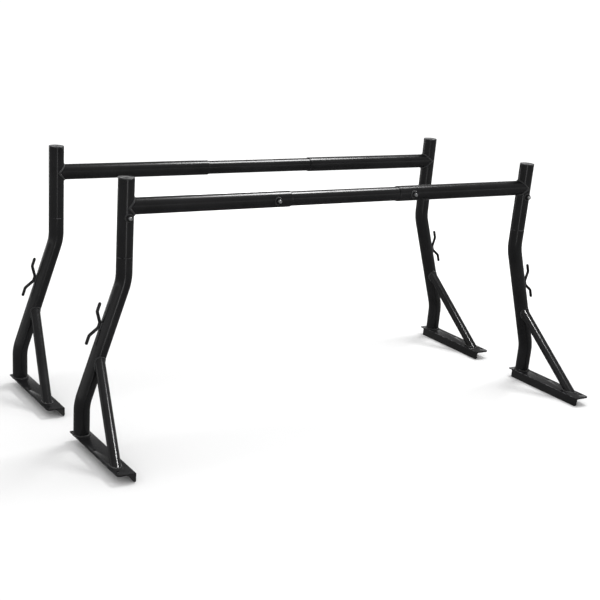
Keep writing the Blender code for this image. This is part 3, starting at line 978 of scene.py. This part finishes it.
def paleFloor():
    mesh = bpy.data.meshes.new("paleFloor")
    s = floor["size"]
    mesh.from_pydata([(-s, -s, 0), (s, -s, 0), (s, s, 0), (-s, s, 0)], [], [(0, 1, 2, 3)])
    obj = looseObject(mesh)
    mat, tree, shader = newMaterial("paleFloorPaint")
    # greyer under the lamps and paler away from them, so that it comes out evenly light
    coords = addNode(tree, "ShaderNodeTexCoord", (-5, 0))
    away = addNode(tree, "ShaderNodeVectorMath", (-4, 0), operation="LENGTH")
    wire(tree, coords, away, "Object", 0)
    fade = addNode(tree, "ShaderNodeMapRange", (-3, 0), interpolation_type="SMOOTHSTEP")
    fill(fade, {"From Min": floor["reach"][0], "From Max": floor["reach"][1]})
    wire(tree, away, fade, "Value", "Value")
    paint = ramp(tree, fade, (-2, 0), [(0.0, floor["near"]), (1.0, floor["far"])], "Result")
    wire(tree, paint, shader, "Color", "Base Color")
    fill(shader, {"Roughness": 0.9, "Specular IOR Level": 0.0})
    mesh.materials.append(mat)
    obj.visible_glossy = False     # the coat mirrors the lamps, as in a dark studio, and not the floor


def softLamp(name, place, aimAt, size, power, only=()):
    # a soft rectangle of light; only lists the pieces that it lights, when it isn't all of them
    data = bpy.data.lights.new(name, "AREA")
    data.shape = "RECTANGLE"
    data.size = size[0]
    data.size_y = size[1]
    data.energy = power
    lamp = bpy.data.objects.new(name, data)
    bpy.context.scene.collection.objects.link(lamp)
    lamp.location = place
    lamp.rotation_euler = (Vector(aimAt) - Vector(place)).to_track_quat("-Z", "Y").to_euler()
    if only:
        chosen = bpy.data.collections.new(name + "Pieces")
        for piece in only:
            chosen.objects.link(piece)
        lamp.light_linking.receiver_collection = chosen


# what the coat mirrors: (height, brightness) stops, with height running from straight down at 0 to up at 1
room = dict(
    dim=[(0.0, 0.07), (0.45, 0.24), (0.60, 0.16), (0.68, 0.20), (1.0, 0.34)],
    band=[(0.515, 0.0), (0.530, 1.0), (0.575, 1.0), (0.600, 0.0)],
    front=0.5, back=0.85,    # strength of the band in front and behind
    white=1.1,               # what lights the floor
)


def studioSky():
    # white light all round for the floor; the coat itself reflects a dim room
    world = bpy.data.worlds.new("studioSky")
    bpy.context.scene.world = world
    world.use_nodes = True
    tree = world.node_tree
    tree.nodes.clear()
    path = addNode(tree, "ShaderNodeLightPath", (-4, 0))
    coords = addNode(tree, "ShaderNodeTexCoord", (-7, 2))
    parts = addNode(tree, "ShaderNodeSeparateXYZ", (-6, 2))
    wire(tree, coords, parts, "Generated", 0)
    # a dim room with a pale band low over its back wall, less pale in front; Z is the sine of the height
    rise = addNode(tree, "ShaderNodeMapRange", (-5, 2))
    fill(rise, {"From Min": -1.0})
    wire(tree, parts, rise, "Z", "Value")
    dim = ramp(tree, rise, (-4, 2), room["dim"], "Result")
    band = ramp(tree, rise, (-4, 3), room["band"], "Result")
    back = addNode(tree, "ShaderNodeMapRange", (-5, 4))
    fill(back, {"From Min": -1.0, "To Min": room["front"], "To Max": room["back"]})
    wire(tree, parts, back, "Y", "Value")
    glow = addNode(tree, "ShaderNodeVectorMath", (-3, 3), operation="SCALE")
    wire(tree, band, glow, "Color", 0)
    wire(tree, back, glow, "Result", "Scale")
    both = addNode(tree, "ShaderNodeVectorMath", (-2, 3), operation="ADD")
    wire(tree, dim, both, "Color", 0)
    wire(tree, glow, both, "Vector", 1)
    white = addNode(tree, "ShaderNodeBackground", (-2, 0))
    fill(white, {"Color": (1.0, 1.0, 1.0, 1.0), "Strength": room["white"]})
    mirrored = addNode(tree, "ShaderNodeBackground", (-1, 2))
    wire(tree, both, mirrored, "Vector", "Color")
    choose = addNode(tree, "ShaderNodeMixShader", (0, 0))
    out = addNode(tree, "ShaderNodeOutputWorld", (2, 0))
    wire(tree, path, choose, "Is Glossy Ray", 0)
    wire(tree, white, choose, 0, 1)
    wire(tree, mirrored, choose, 0, 2)
    wire(tree, choose, out, 0, 0)


paleFloor()
studioSky()
softLamp("overheadSoftbox", (2.10, 0.75, 4.2), (0.0, 0.1, 0.7), (1.4, 1.1), 105.0)
softLamp("sideStrip", (-1.05, -3.3, 0.5), (-0.7, 0.0, 0.4), (0.45, 1.6), 7.0)
softLamp("kickerSoftbox", (0.20, -1.24, 1.96), (0.0, -0.3, 0.2), (0.26, 0.26), 26.0, only=lowPieces)
for name, x in (("backStripLeft", -1.6), ("backStripRight", 1.6)):
    softLamp(name, (x, 3.4, 0.7), (0.0, 0.0, 0.4), (0.5, 1.4), 8.0)

view = dict(
    turn=0.5518, tilt=0.38, roll=0.0707,    # angles in radians
    place=(-2.1151, -3.1298, 1.3798), lens=70.47, sensor=36.0, shift=(0.075, 0.2083),
)


def placeCamera():
    level = math.cos(view["tilt"])
    ahead = Vector((math.sin(view["turn"]) * level, math.cos(view["turn"]) * level, -math.sin(view["tilt"])))
    right = ahead.cross(Vector((0.0, 0.0, 1.0))).normalized()
    up = right.cross(ahead)
    c, s = math.cos(view["roll"]), math.sin(view["roll"])
    across, upward = right * c + up * s, up * c - right * s
    data = bpy.data.cameras.new("camera")
    data.sensor_width = view["sensor"]
    data.lens = view["lens"]
    data.shift_x, data.shift_y = view["shift"]
    camera = bpy.data.objects.new("camera", data)
    bpy.context.scene.collection.objects.link(camera)
    turned = Matrix((across, upward, -ahead)).transposed().to_4x4()
    camera.matrix_world = Matrix.Translation(view["place"]) @ turned
    bpy.context.scene.camera = camera


placeCamera()
bpy.context.scene.view_settings.view_transform = "Standard"
print("floor, lamps and camera set")
